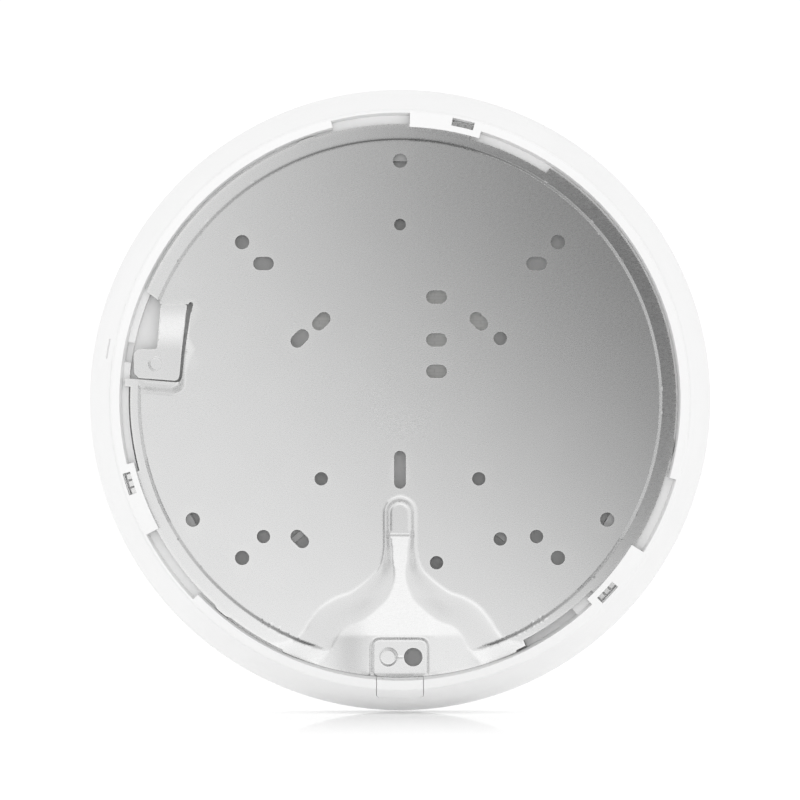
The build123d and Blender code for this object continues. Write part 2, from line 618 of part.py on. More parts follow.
def antennas_5ghz():
    """Four small antennas."""
    return [antenna(angle, 12.0, 6.5, 5.5) for angle in ANTENNA_5_ANGLES]


def antenna_carrier():
    """Plastic ring that carries the antennas."""
    low, high = CARRIER_Z - CARRIER_T, CARRIER_Z
    ring = turned([(CARRIER_R[0], low), (CARRIER_R[1], low), (CARRIER_R[1], high), (CARRIER_R[0], high)])
    for angle in CARRIER_POSTS:
        ring = ring - rod(*spot(CARRIER_POST_R, angle), low, high, SHANK_R + 0.3)
    return ring


def led_board():
    """Ring-shaped board behind the light guide."""
    low, high = LED_BOARD_Z - 1.2, LED_BOARD_Z
    return turned([(14, low), (28, low), (28, high), (14, high)])


def leds():
    """Twelve light-emitting diodes facing the light guide."""
    top = LED_BOARD_Z - 1.2
    return [block(*spot(sum(LIGHT_R) / 2, 30 * n), top - 0.8, top, 1.6, 1.6) for n in range(12)]


def board_connector():
    """Stacking connector between the two boards."""
    return block(0, 20, LED_BOARD_Z, PCB_Z - PCB_T, 9, 3.4)


def foam_gasket():
    """Soft ring in the joint between the housings."""
    return turned([(94.0, -20.8), (95.2, -20.8), (95.2, -22.0), (94.0, -22.0)])


def rating_label():
    """Blank label on the floor, under the plate."""
    return Pos(0, 16, FLOOR_Z + 0.125) * extrude(RectangleRounded(56, 40, 2.0), 0.125, both=True)


def housing_screws():
    """Screws through the rear housing's floor into the front cover."""
    return [screw(*spot(BOSS_R, angle), FLOOR_Z - 1.0, 9.0) for angle in BOSS_ANGLES]


def board_screws():
    """Screws from below the main board into the posts."""
    return [screw(x, y, PCB_Z - PCB_T, 7.0, up=False) for x, y in POST_XY]


def carrier_screws():
    """Screws that hold the antenna carrier to the front cover."""
    return [screw(*spot(CARRIER_POST_R, angle), CARRIER_Z, 6.0) for angle in CARRIER_POSTS]


def chips(places, height):
    """Chip packages on the board."""
    return [block(x, y, PCB_Z, PCB_Z + height, width, depth) for x, y, width, depth in places]


# ================================================================ write the parts
NODES = {
    "mounting_plate": mounting_plate,
    "lock_tongue": lock_tongue,
    "rear_housing": rear_housing,
    "cable_exit_cover": cable_exit_cover,
    "reset_button": reset_button,
    "front_cover": front_cover,
    "light_ring": light_ring,
    "centre_cap": centre_cap,
    "main_board": main_board,
    "ethernet_jack": ethernet_jack,
    "jack_contacts": jack_contacts,
    "shield_cans": shield_cans,
    "processor": lambda: chips(CHIP_PLACES[:1], 1.8),
    "radio_chips": lambda: chips(CHIP_PLACES[1:], 1.2),
    "memory_chips": lambda: chips(((1, 12, 9, 12), (1, 26, 9, 12)), 1.1),
    "port_magnetics": lambda: chips(((0, 0, 16, 9),), 5.6),
    "thermal_pads": thermal_pads,
    "heat_sink": heat_sink,
    "power_inductors": coil_blocks,
    "capacitors": capacitors,
    "small_parts": small_parts,
    "reset_switch": reset_switch,
    "coax_connectors": coax_connectors,
    "coax_leads": coax_leads,
    "antennas_24ghz": antennas_24ghz,
    "antennas_5ghz": antennas_5ghz,
    "antenna_carrier": antenna_carrier,
    "led_board": led_board,
    "leds": leds,
    "board_connector": board_connector,
    "foam_gasket": foam_gasket,
    "rating_label": rating_label,
    "housing_screws": housing_screws,
    "board_screws": board_screws,
    "carrier_screws": carrier_screws,
    "heat_sink_screws": heat_sink_screws,
}


def main():
    """Build every node and write it as a STEP file."""
    os.makedirs("parts", exist_ok=True)
    for name, make in NODES.items():
        made = make()
        shape = Compound(children=[s for piece in made for s in piece.solids()]) \
            if isinstance(made, list) else made
        export_step(shape, f"parts/{name}.step")
        solids = shape.solids()
        print(name, len(solids), round(sum(s.volume for s in solids)))


main()
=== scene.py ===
import json
import math

import bpy
import numpy as np
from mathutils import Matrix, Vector
from mathutils.geometry import delaunay_2d_cdt


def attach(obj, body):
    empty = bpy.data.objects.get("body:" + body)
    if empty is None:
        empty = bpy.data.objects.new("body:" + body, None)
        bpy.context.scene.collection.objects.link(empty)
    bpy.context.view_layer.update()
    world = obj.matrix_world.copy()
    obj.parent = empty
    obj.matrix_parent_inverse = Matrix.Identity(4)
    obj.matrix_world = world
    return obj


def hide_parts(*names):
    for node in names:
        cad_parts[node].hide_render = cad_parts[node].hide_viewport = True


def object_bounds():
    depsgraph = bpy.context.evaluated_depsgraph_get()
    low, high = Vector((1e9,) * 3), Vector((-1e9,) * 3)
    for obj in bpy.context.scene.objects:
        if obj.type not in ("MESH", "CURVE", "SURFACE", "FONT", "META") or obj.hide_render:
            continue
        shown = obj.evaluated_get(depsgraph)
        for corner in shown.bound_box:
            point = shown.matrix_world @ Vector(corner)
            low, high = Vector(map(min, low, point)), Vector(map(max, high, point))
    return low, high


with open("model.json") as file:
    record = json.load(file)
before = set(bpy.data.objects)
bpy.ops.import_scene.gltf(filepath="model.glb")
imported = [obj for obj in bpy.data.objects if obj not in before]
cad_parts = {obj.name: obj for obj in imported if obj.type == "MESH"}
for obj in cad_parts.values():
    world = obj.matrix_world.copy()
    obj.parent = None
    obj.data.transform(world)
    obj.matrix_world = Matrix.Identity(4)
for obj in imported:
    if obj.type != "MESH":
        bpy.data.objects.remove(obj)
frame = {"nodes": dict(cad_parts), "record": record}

CAD_LO, CAD_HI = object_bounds()
MM = 0.001

# Noise scales, in cycles per metre.
FLOW_SCALE = 38.0
TONE_SCALE = 60.0
SHEEN_SCALE = 160.0
PATCH_SCALE = 420.0


# ---------------------------------------------------------------- materials
class Nodes:
    """Short calls for building a node material."""

    def __init__(self, name):
        self.mat = bpy.data.materials.new(name)
        self.mat.use_nodes = True
        self.tree = self.mat.node_tree
        self.tree.nodes.clear()
        self.output = self.node("ShaderNodeOutputMaterial")
        self.coords = self.node("ShaderNodeTexCoord")

    def link(self, out, target):
        self.tree.links.new(out, target)

    def surface(self, out):
        self.link(out, self.output.inputs["Surface"])

    def node(self, kind, **values):
        """A new node; each value goes to its socket, or else to its property."""
        made = self.tree.nodes.new(kind)
        for key, value in values.items():
            if key in made.inputs:
                made.inputs[key].default_value = value
            else:
                setattr(made, key, value)
        return made

    def mapped(self, scale=(1, 1, 1), turn=(0, 0, 0)):
        mapping = self.node("ShaderNodeMapping", Scale=scale, Rotation=turn)
        self.link(self.coords.outputs["Object"], mapping.inputs["Vector"])
        return mapping.outputs["Vector"]

    def noise(self, scale, detail=3.0, rough=0.55, vector=None):
        made = self.node("ShaderNodeTexNoise", Scale=scale, Detail=detail, Roughness=rough)
        self.link(vector or self.coords.outputs["Object"], made.inputs["Vector"])
        return made.outputs["Fac"]

    def ramp(self, fac, stops):
        made = self.node("ShaderNodeValToRGB")
        for element, (at, colour) in zip(made.color_ramp.elements, stops):
            element.position = at
            element.color = (*colour, 1)
        self.link(fac, made.inputs["Fac"])
        return made.outputs["Color"]

    def remapped(self, value, start, end, low, high):
        """A value's stretch from start to end, laid over low to high."""
        made = self.node("ShaderNodeMapRange")
        for key, number in (("From Min", start), ("From Max", end), ("To Min", low), ("To Max", high)):
            made.inputs[key].default_value = number
        self.link(value, made.inputs["Value"])
        return made.outputs["Result"]

    def times(self, first, second):
        made = self.node("ShaderNodeMath", operation="MULTIPLY")
        self.link(first, made.inputs[0])
        self.link(second, made.inputs[1])
        return made.outputs["Value"]

    def blend(self, factor, first, second):
        """A colour that turns from the first, a socket, to the second, a fixed colour."""
        made = self.node("ShaderNodeMix", data_type="RGBA")
        self.link(factor, made.inputs["Factor"])
        self.link(first, made.inputs["A"])
        made.inputs["B"].default_value = (*second, 1)
        return made.outputs["Result"]

    def attribute(self, name):
        return self.node("ShaderNodeAttribute", attribute_name=name).outputs["Fac"]


class Finish(Nodes):
    """A node material round one Principled shader."""

    def __init__(self, name, rough, metallic=0.0, **sockets):
        super().__init__(name)
        self.shader = self.node("ShaderNodeBsdfPrincipled", Roughness=rough, Metallic=metallic)
        for key, value in sockets.items():
            self.shader.inputs[key.replace("_", " ")].default_value = value
        self.surface(self.shader.outputs["BSDF"])

    def colour(self, out):
        self.link(out, self.shader.inputs["Base Color"])

    def rough(self, fac, low, high):
        """Roughness that wanders between two values with a noise."""
        self.link(self.remapped(fac, 0.3, 0.7, low, high), self.shader.inputs["Roughness"])

    def softened(self, edge):
        """The surface normal with its edges rounded by a radius in metres."""
        bevel = self.node("ShaderNodeBevel", Radius=edge)
        bevel.samples = 6
        return bevel.outputs["Normal"]

    def bump(self, height, distance, normal=None):
        """Fine relief, over a softened normal if one is given."""
        made = self.node("ShaderNodeBump", Strength=1.0, Distance=distance)
        self.link(height, made.inputs["Height"])
        if normal:
            self.link(normal, made.inputs["Normal"])
        self.link(made.outputs["Normal"], self.shader.inputs["Normal"])

    def worn(self, inner, edge, normal):
        """A colour that turns in patches to another where the softened normal shows an edge."""
        geometry = self.node("ShaderNodeNewGeometry")
        facing = self.node("ShaderNodeVectorMath", operation="DOT_PRODUCT")
        self.link(geometry.outputs["Normal"], facing.inputs[0])
        self.link(normal, facing.inputs[1])
        rub = self.remapped(facing.outputs["Value"], 0.99, 0.85, 0.0, 1.0)
        return self.blend(self.times(rub, self.noise(PATCH_SCALE)), inner, edge)


def shade(base, by):
    return tuple(min(1.0, c * by) for c in base)


def moulded(name, base, rough=0.42, grain=1400.0, depth=0.000012, vary=0.02, edge=0.00022, **sockets):
    """Moulded plastic: fine spark-eroded grain, faint flow variation, edges rubbed smooth."""
    n = Finish(name, rough, IOR=1.5, **sockets)
    body = n.ramp(n.noise(FLOW_SCALE), [(0.3, shade(base, 1 - vary)), (0.7, base)])
    soft = n.softened(edge)
    n.colour(n.worn(body, shade(base, 1.05), soft))
    n.rough(n.noise(SHEEN_SCALE), rough - 0.05, rough + 0.06)
    n.bump(n.noise(grain, 4.0, 0.6), depth, soft)
    return n.mat


def metal(name, base, rough=0.34, stretch=(1, 1, 1), grain=600.0, depth=0.00001, vary=0.05, edge=0.00015):
    """Sheet or turned metal with a rolled or cast grain and bright rubbed edges."""
    n = Finish(name, rough, 1.0)
    body = n.ramp(n.noise(TONE_SCALE), [(0.3, shade(base, 1 - vary)), (0.7, base)])
    soft = n.softened(edge)
    n.colour(n.worn(body, shade(base, 1.08), soft))
    grains = n.noise(grain, 3.0, 0.6, n.mapped(stretch))
    n.rough(grains, rough - 0.05, rough + 0.06)
    n.bump(grains, depth, soft)
    return n.mat


def board():
    """Solder mask over fine copper tracks, with tinned vias."""
    n = Finish("solder mask", 0.32)
    tracks = n.node("ShaderNodeTexWave", Scale=420.0, Distortion=9.0, Detail=1.0)
    n.link(n.mapped((1, 1, 0.01), (0, 0, math.pi / 4)), tracks.inputs["Vector"])
    vias = n.node("ShaderNodeTexVoronoi", Scale=330.0, Randomness=0.85)
    n.link(n.mapped((1, 1, 0.01)), vias.inputs["Vector"])
    mask = n.ramp(tracks.outputs["Fac"], [(0.35, (0.006, 0.03, 0.02)), (0.45, (0.012, 0.07, 0.045))])
    dots = n.ramp(vias.outputs["Distance"], [(0.16, (1, 1, 1)), (0.2, (0, 0, 0))])
    n.colour(n.blend(dots, mask, (0.55, 0.53, 0.48)))
    n.rough(n.noise(120.0), 0.26, 0.4)
    n.bump(tracks.outputs["Fac"], 0.00003)
    return n.mat


def foam():
    """Open-cell foam tape."""
    n = Finish("cell foam", 0.9)
    cells = n.node("ShaderNodeTexVoronoi", Scale=1700.0)
    n.link(n.coords.outputs["Object"], cells.inputs["Vector"])
    n.colour(n.ramp(cells.outputs["Distance"], [(0.1, (0.02, 0.02, 0.021)), (0.6, (0.07, 0.07, 0.07))]))
    n.rough(n.noise(500.0), 0.84, 0.97)
    n.bump(cells.outputs["Distance"], 0.0002)
    return n.mat


def label():
    """Printed film with plain grey bars and no writing."""
    n = Finish("label film", 0.4)
    bars = n.node("ShaderNodeTexBrick", Scale=230.0)
    bars.inputs["Color1"].default_value = (0.9, 0.9, 0.88, 1)
    bars.inputs["Color2"].default_value = (0.87, 0.87, 0.86, 1)
    bars.inputs["Mortar"].default_value = (0.8, 0.8, 0.79, 1)
    n.link(n.mapped((0.3, 1, 0.01)), bars.inputs["Vector"])
    n.colour(bars.outputs["Color"])
    n.rough(n.noise(300.0), 0.34, 0.5)
    n.bump(n.noise(900.0), 0.00001)
    return n.mat


def plated_sheet():
    """Zinc plated sheet with a fine rolled grain, bright rubbed edges and painted shade along the step's bend
    near the top and bottom.
    """
    n = Finish("zinc plated sheet", 0.27, 1.0)
    body = n.ramp(n.noise(TONE_SCALE), [(0.3, (0.785, 0.785, 0.785)), (0.7, (0.8, 0.8, 0.8))])
    rubbed = n.blend(n.times(n.attribute("rub"), n.noise(PATCH_SCALE)), body, (0.92, 0.92, 0.91))
    # Painted shade: the base colour turns near black along the step's bend where it faces +Y or -Y.
    n.colour(n.blend(n.attribute("painted_step_shade"), rubbed, (0.05, 0.05, 0.05)))
    grains = n.noise(900.0, 3.0, 0.6, n.mapped((1, 3, 1)))
    n.rough(grains, 0.24, 0.31)
    n.bump(grains, 0.0000015)
    return n.mat


STEEL = plated_sheet()
SLOTS = {
    "zinc_plate": STEEL,
    "white_plastic": moulded("white moulded plastic", (0.82, 0.82, 0.82)),
    "white_cap": moulded("cap plastic", (0.82, 0.82, 0.82), 0.34),
    "light_guide": moulded("milky light guide", (0.86, 0.88, 0.9), 0.24, 900.0, 0.000006, 0.01,
                           Transmission_Weight=0.3, Subsurface_Weight=0.2),
    "circuit_board": board(),
    "tinned_steel": metal("tinned steel", (0.72, 0.72, 0.71), 0.27, (1, 9, 1), 700.0),
    "gold_contact": metal("gold flash", (0.86, 0.62, 0.27), 0.24, (9, 1, 1), 1500.0),
    "chip_black": moulded("chip epoxy", (0.022, 0.022, 0.024), 0.5, 2600.0, 0.00001, 0.2),
    "thermal_pad": moulded("thermal pad", (0.5, 0.38, 0.42), 0.85, 800.0, 0.00004, 0.1),
    "cast_sink": metal("die cast aluminium", (0.56, 0.57, 0.58), 0.5, (1, 1, 1), 360.0, 0.00005),
    "ferrite": moulded("ferrite", (0.05, 0.05, 0.055), 0.7, 900.0, 0.00004, 0.2),
    "capacitor_can": metal("capacitor can", (0.7, 0.7, 0.71), 0.22, (1, 1, 12), 900.0),
    "component_tan": moulded("ceramic chip", (0.42, 0.3, 0.18), 0.45, 3000.0, 0.00001, 0.15),
    "antenna_metal": metal("plated brass sheet", (0.74, 0.7, 0.58), 0.3, (6, 1, 1), 800.0),
    "lead_jacket": moulded("lead jacket", (0.03, 0.03, 0.032), 0.42, 1800.0),
    "carrier_plastic": moulded("carrier plastic", (0.6, 0.6, 0.59), 0.48),
    "lamp_lens": moulded("lamp lens", (0.82, 0.72, 0.3), 0.2, Transmission_Weight=0.25),
    "foam": foam(),
    "label_film": label(),
    "screw_steel": metal("screw steel", (0.56, 0.56, 0.57), 0.3, (1, 1, 6), 1600.0),
    "button_grey": moulded("button plastic", (0.12, 0.125, 0.13), 0.45),
}

for part in frame["record"]["subparts"]:
    skin = frame["nodes"][part["node"]].data.materials
    skin.clear()
    skin.append(SLOTS[part["material_slot"]])


# ---------------------------------------------------------------- shapes in plan, in millimetres
def polar(radius, degrees):
    return (radius * math.cos(math.radians(degrees)), radius * math.sin(math.radians(degrees)))


def rounded(points, radius, steps=6):
    """A closed outline with its corners rounded."""
    made = []
    for n, corner in enumerate(points):
        here, before, after = Vector(corner), Vector(points[n - 1]), Vector(points[(n + 1) % len(points)])
        a, b = (before - here).normalized(), (after - here).normalized()
        turn = math.pi - a.angle(b)
        if turn < 0.05:
            made.append(tuple(here))
            continue
        back = min(radius * math.tan(turn / 2), 0.45 * (before - here).length, 0.45 * (after - here).length)
        start, end = here + a * back, here + b * back
        for k in range(steps + 1):
            t = k / steps
            made.append(tuple(start * (1 - t) ** 2 + here * 2 * t * (1 - t) + end * t * t))
    return made


def curve(points, per=8):
    """A smooth open line through the points."""
    made = []
    count = len(points)
    for n in range(count - 1):
        p0, p1, p2, p3 = (Vector(points[min(max(n + k, 0), count - 1)]) for k in (-1, 0, 1, 2))
        for k in range(per):
            t = k / per
            bend = (2 * p0 - 5 * p1 + 4 * p2 - p3) * t * t + (3 * p1 - p0 - 3 * p2 + p3) * t ** 3
            made.append(tuple(0.5 * (2 * p1 + (p2 - p0) * t + bend)))
    made.append(tuple(points[-1]))
    return made


def slot_outline(x, y, length, radius, angle=0.0, steps=10):
    """A round-ended slot about its middle."""
    half = length / 2 - radius
    a = math.radians(angle)
    made = []
    for end in (1, -1):
        for k in range(steps + 1):
            t = math.pi * (k / steps - 0.5) + (0 if end > 0 else math.pi)
            u, v = end * half + radius * math.cos(t), radius * math.sin(t)
            made.append((x + u * math.cos(a) - v * math.sin(a), y + u * math.sin(a) + v * math.cos(a)))
    return made


def circle(x, y, radius, steps=36):
    return [(x + u, y + v) for u, v in (polar(radius, 360 * k / steps) for k in range(steps))]


def columns(points):
    """The points' x and y as two arrays."""
    return np.array([p[0] for p in points]), np.array([p[1] for p in points])


def inside(px, py, outline):
    """Which of the points lie inside a closed outline."""
    made = np.zeros(px.shape, bool)
    for (ax, ay), (bx, by) in zip(outline, [*outline[1:], outline[0]]):
        crosses = (ay > py) != (by > py)
        at = ax + (py - ay) * (bx - ax) / ((by - ay) or 1e-12)
        made ^= crosses & (px < at)
    return made


def distance(px, py, outline):
    """Each point's distance to a closed outline."""
    made = np.full(px.shape, 1e9)
    for (ax, ay), (bx, by) in zip(outline, [*outline[1:], outline[0]]):
        dx, dy = bx - ax, by - ay
        t = np.clip(((px - ax) * dx + (py - ay) * dy) / max(dx * dx + dy * dy, 1e-12), 0, 1)
        made = np.minimum(made, np.hypot(px - ax - t * dx, py - ay - t * dy))
    return made


def depth_inside(px, py, outline):
    """Distance to a closed outline, negative outside it."""
    return distance(px, py, outline) * np.where(inside(px, py, outline), 1, -1)


def ease(t):
    """A smooth rise from 0 to 1."""
    t = np.clip(t, 0, 1)
    return t * t * (3 - 2 * t)


def ramped(t):
    """A straight rise from 0 to 1 with lightly rounded ends."""
    return 0.65 * np.clip(t, 0, 1) + 0.35 * ease(t)


def bell(value, middle, width):
    """1 at the middle, falling off on both sides."""
    return np.exp(-((value - middle) / width) ** 2)


def soft_min(a, b, k):
    """The lower of two values, blended where they are within k of each other."""
    h = np.clip(0.5 + 0.5 * (b - a) / k, 0, 1)
    return b * (1 - h) + a * h - k * h * (1 - h)


def offset_ring(loop, away):
    """The loop's points moved square to it, to the right of its direction."""
    made = []
    for n, here in enumerate(loop):
        along = Vector(loop[(n + 1) % len(loop)]) - Vector(loop[n - 1])
        if along.length < 1e-9:
            continue
        along.normalize()
        made.append((here[0] + along.y * away, here[1] - along.x * away))
    return made


def grid(x0, x1, y0, y1, step):
    """Points in staggered rows."""
    nx, ny = int((x1 - x0) / step) + 1, int((y1 - y0) / step) + 1
    return [(x0 + i * step + (step / 2 if j % 2 else 0), y0 + j * step) for j in range(ny) for i in range(nx)]


def clear_of(points, loops, gap):
    """The points that are at least a gap away from every loop."""
    x, y = columns(points)
    keep = np.ones(len(points), bool)
    for loop in loops:
        keep &= distance(x, y, loop) > gap
    return [p for p, k in zip(points, keep) if k]


# ---------------------------------------------------------------- pressed sheets
SHEET = 1.2
STEEPEST = 1.5          # the sheet's height is at most this many thicknesses on a slope
RUB_WIDTH = 0.25        # edges are rubbed bright over this width
FLANGE_Z = -2.6
FLANGE_R = 86.6
STEP = (81.25, 82.35)   # the disc's edge steps down to the flange between these radii
FOLD_R, STEP_SHADE_WIDTH = 81.8, 0.42     # the step's bend; painted shade darkens it near the top and bottom over this width


def triangles(outline, holes, spots):
    """Corner positions and triangles of an outline less its holes, with the spots as inner corners."""
    points, edges = [], []
    for loop in (outline, *holes):
        start = len(points)
        points += loop
        edges += [(start + k, start + (k + 1) % len(loop)) for k in range(len(loop))]
    made = delaunay_2d_cdt([Vector(p) for p in points + spots], edges, [], 0, 1e-4)
    xy = np.array([tuple(p) for p in made[0]])
    tri = np.array(made[2])
    mid = xy[tri].mean(axis=1)
    keep = inside(mid[:, 0], mid[:, 1], outline)
    for hole in holes:
        keep &= ~inside(mid[:, 0], mid[:, 1], hole)
    tri = tri[keep]
    used = np.unique(tri)
    index = np.full(len(xy), -1)
    index[used] = np.arange(len(used))
    return xy[used], index[tri]


def border(tri):
    """The sides that only one triangle has."""
    sides = {}
    for a, b, c in tri:
        for u, v in ((a, b), (b, c), (c, a)):
            if (v, u) in sides:
                del sides[(v, u)]
            else:
                sides[(u, v)] = True
    return list(sides)


def sheet_height(height, x, y):
    """How tall the sheet is along Z, taller on slopes."""
    step = 0.05
    rise_x = height(x + step, y) - height(x - step, y)
    rise_y = height(x, y + step) - height(x, y - step)
    slope = np.hypot(rise_x, rise_y) / (2 * step)
    return SHEET * np.minimum(np.sqrt(1 + slope ** 2), STEEPEST)


def sheet_mesh(name, outline, holes, height, spots):
    """A pressed sheet: a top of exact outline, its underside and its punched edges."""
    xy, tri = triangles(outline, holes, spots)
    x, y = xy[:, 0], xy[:, 1]
    z = height(x, y)
    low = z - sheet_height(height, x, y)
    count = len(xy)
    verts = [(px * MM, py * MM, pz * MM) for px, py, pz in zip(x, y, z)]
    verts += [(px * MM, py * MM, pz * MM) for px, py, pz in zip(x, y, low)]
    faces = [(a, b, c) for a, b, c in tri]
    faces += [(c + count, b + count, a + count) for a, b, c in tri]
    faces += [(v, u, u + count, v + count) for u, v in border(tri)]
    mesh = bpy.data.meshes.new(name)
    mesh.from_pydata(verts, [], [[int(i) for i in face] for face in faces])
    mesh.validate()
    away = np.full(count, 1e9)
    for loop in (outline, *holes):
        away = np.minimum(away, distance(x, y, loop))
    r = np.hypot(x, y)
    above_tray = z > FLANGE_Z - 0.3
    # Painted shade along the step's bend, strongest where it faces +Y or -Y, none over the tray.
    step_shade_mask = bell(r, FOLD_R, STEP_SHADE_WIDTH) * np.abs(y / np.maximum(r, 1)) ** 3 * above_tray
    for key, values in (("rub", np.exp(-away / RUB_WIDTH)), ("painted_step_shade", step_shade_mask)):
        layer = mesh.attributes.new(key, "FLOAT", "POINT")
        layer.data.foreach_set("value", np.tile(values, 2).astype(np.float32))
    for poly in mesh.polygons:
        poly.use_smooth = True
    mesh.set_sharp_from_angle(angle=math.radians(50))
    mesh.materials.append(STEEL)
    made = bpy.data.objects.new(name, mesh)
    bpy.context.scene.collection.objects.link(made)
    return made


# ---------------------------------------------------------------- mounting plate
FLANGE_TILT = 0.047     # the flange falls outwards by this much per millimetre
RELIEF_R, TAB_R, TAB_SLOT_R, NUB_R, TRAY_R = 84.7, 89.0, 87.0, 87.2, 87.18
TURNS = (0, 120, 240)   # the three bayonet groups
RELIEF_ARC = (57.2, 75.3)
TAB_ARC = (75.3, 86.8)
TAB_SLOT_ARCS = ((76.4, 76.8), (77.9, 78.3))
NUB_ANGLE, NUB_HALF, NUB_SIDE = 110, 3.4, 1.8
TRAY_ANGLE, TRAY_SWEEP = 270, 25

SCREW_R, BOX_R, PILOT_R = 2.25, 2.1, 1.85
OUTER_PCD_R, SQUARE_PCD_R = 75, 70
SQUARE_BOX = 42.8
ROUND_BOX = 24.695
OCTAGON, OCTAGON_Y = 31.43, -12.13
GANG_X, GANG_HOLE_Y, GANG_SLOTS_Y = 11.45, -51.0, (32.3, 18.85, 9.0)
SLOT_L = 6.5
LONG_SLOT_Y, LONG_SLOT_L = -21.85, 11.9
PILOT_Y = 55
CABLE_HOLE, CABLE_HOLE_R = (4.15, -80.9), 2.93
KNOCKOUT, KNOCKOUT_R, KNOCKOUT_H = (-3.7, -80.9), 2.95, 0.6

GROOVE_Z = -1.7         # the tray's floor in the narrow groove at its head
TRAY_Z = -6.0           # at the rim, in the middle
WING_Z = -4.4           # at the rim, in the wings
FALL_Y = (-42.3, -74.0)  # the floor falls between these
FALL_LINE = 0.25         # depth of the line where the floor starts to fall
WALL_Y = (44.0, 50.0, 56.0, 62.0, 78.0)
WALL_WIDTH = (1.7, 2.8, 6.0, 8.8, 10.5)     # width of the tray's walls at those -Y
WALL_OUT = 0.15         # the part of a wall that lies outside the tray's outline
SHELF_STEEPNESS, SHELF_SHIFT = 0.37, 0.13   # its wall's rise per millimetre, and a shift outwards
POCKET_DEPTH = 0.9
CAP_Y, CAP_R = -35.35, 4.55
FLANK = curve([(CAP_R, -35.3), (CAP_R, -41.5), (4.6, -47.5), (5.9, -53.0), (8.6, -56.4), (11.4, -58.9),
               (15.2, -61.6), (19.6, -63.2), (24.0, -66.0), (27.3, -70.2), (29.2, -73.4), (31.6, -75.9),
               (35.5, -77.4), (41.5, -78.2), (48.0, -78.6)])
CAP = [(x, CAP_Y + y) for x, y in (polar(CAP_R, angle) for angle in range(170, 5, -10))]
TRAY = [*[(-x, y) for x, y in reversed(FLANK)], *CAP, *FLANK, (48.0, -95.0), (-48.0, -95.0)]
POCKET = rounded([(-8.85, -75.05), (8.85, -75.05), (8.85, -95.0), (-8.85, -95.0)], 2.9)
SHELF = rounded([(-95.0, 5.3), (-71.4, 3.2), (-69.0, 4.2), (-68.9, 12.0), (-95.0, 12.0)], 1.6)
WINDOW = rounded([(-88.0, 35.2), (-79.7, 34.1), (-76.2, 31.6), (-75.2, 30.3), (-75.0, 30.0), (-66.2, 30.0),
                  (-65.2, 30.0), (-67.5, 14.9), (-68.3, 7.3), (-69.0, 5.7), (-70.4, 5.55),
                  (-92.0, 7.25)], 0.9)
SLIT_END = slot_outline(-65.75, 29.0, 3.5, 0.68, 80)
# Rings of mesh corners, close together over the step.
STEP_RINGS = (80.2, 80.8, 81.1, 81.25, 81.36, 81.5, 81.65, 81.8, 81.95, 82.1, 82.24, 82.35, 82.5,
              83.0, 83.8, 84.5, 85.4)


def plate_holes():
    """Every screw hole and slot of the plate, and its cable hole."""
    made = [circle(*polar(OUTER_PCD_R, angle), SCREW_R) for angle in (90, 210, 330)]
    made += [circle(*polar(SQUARE_PCD_R, angle), SCREW_R) for angle in (45, 135, 225, 315)]
    made += [circle(x, y, BOX_R) for x, y in (
        (OCTAGON, OCTAGON_Y + OCTAGON), (OCTAGON, OCTAGON_Y - OCTAGON),
        (-ROUND_BOX, -ROUND_BOX), (ROUND_BOX, -ROUND_BOX),
        (SQUARE_BOX, -SQUARE_BOX), (-SQUARE_BOX, -SQUARE_BOX), (GANG_X, GANG_HOLE_Y))]
    made.append(circle(0, PILOT_Y, PILOT_R))
    made += [slot_outline(x, y, SLOT_L, BOX_R, angle) for x, y, angle in (
        (-OCTAGON, OCTAGON_Y + OCTAGON, 45), (-OCTAGON, OCTAGON_Y - OCTAGON, -45),
        (-ROUND_BOX, ROUND_BOX, 45), (ROUND_BOX, ROUND_BOX, -45),
        (SQUARE_BOX, SQUARE_BOX, 0), (-SQUARE_BOX, SQUARE_BOX, 0))]
    made += [slot_outline(GANG_X, y, SLOT_L, BOX_R) for y in GANG_SLOTS_Y]
    made.append(slot_outline(0, LONG_SLOT_Y, LONG_SLOT_L, PILOT_R, 90))
    made.append(circle(*CABLE_HOLE, CABLE_HOLE_R, 48))
    return made


def flange_radius(angle):
    """The plate's outer edge at an angle in degrees."""
    r = FLANGE_R
    for turn in TURNS:
        a = (angle - turn) % 360
        off = abs(a - NUB_ANGLE) * math.radians(1) * FLANGE_R
        if RELIEF_ARC[0] <= a < RELIEF_ARC[1]:
            r = RELIEF_R
        elif TAB_ARC[0] <= a <= TAB_ARC[1]:
            slotted = any(start <= a <= end for start, end in TAB_SLOT_ARCS)
            r = TAB_SLOT_R if slotted else TAB_R
        elif off < NUB_HALF:
            base = FLANGE_R - 0.02
            r = max(r, base + (NUB_R - FLANGE_R) * min(1, (NUB_HALF - off) / NUB_SIDE))
    from_tray = abs((angle - TRAY_ANGLE + 180) % 360 - 180)
    return max(r, TRAY_R) if from_tray < TRAY_SWEEP and r > RELIEF_R else r


def plate_outline():
    """The plate's outer edge, with short steps at its corners."""
    corners = {*RELIEF_ARC, *TAB_ARC, *TAB_SLOT_ARCS[0], *TAB_SLOT_ARCS[1]}
    marks = {k * 0.75 for k in range(480)}
    for turn in TURNS:
        for corner in corners:
            marks.update(round((corner + turn + side) % 360, 3) for side in (-0.12, 0.0, 0.12))
        marks.update(round((NUB_ANGLE + turn + k * 0.25) % 360, 3) for k in range(-10, 11))
    for side in (-1, 1):
        edge = float(TRAY_ANGLE + side * TRAY_SWEEP)
        marks.update((edge, round(edge + side * 0.1, 3)))
    return [polar(flange_radius(angle + 0.001), angle) for angle in sorted(marks)]


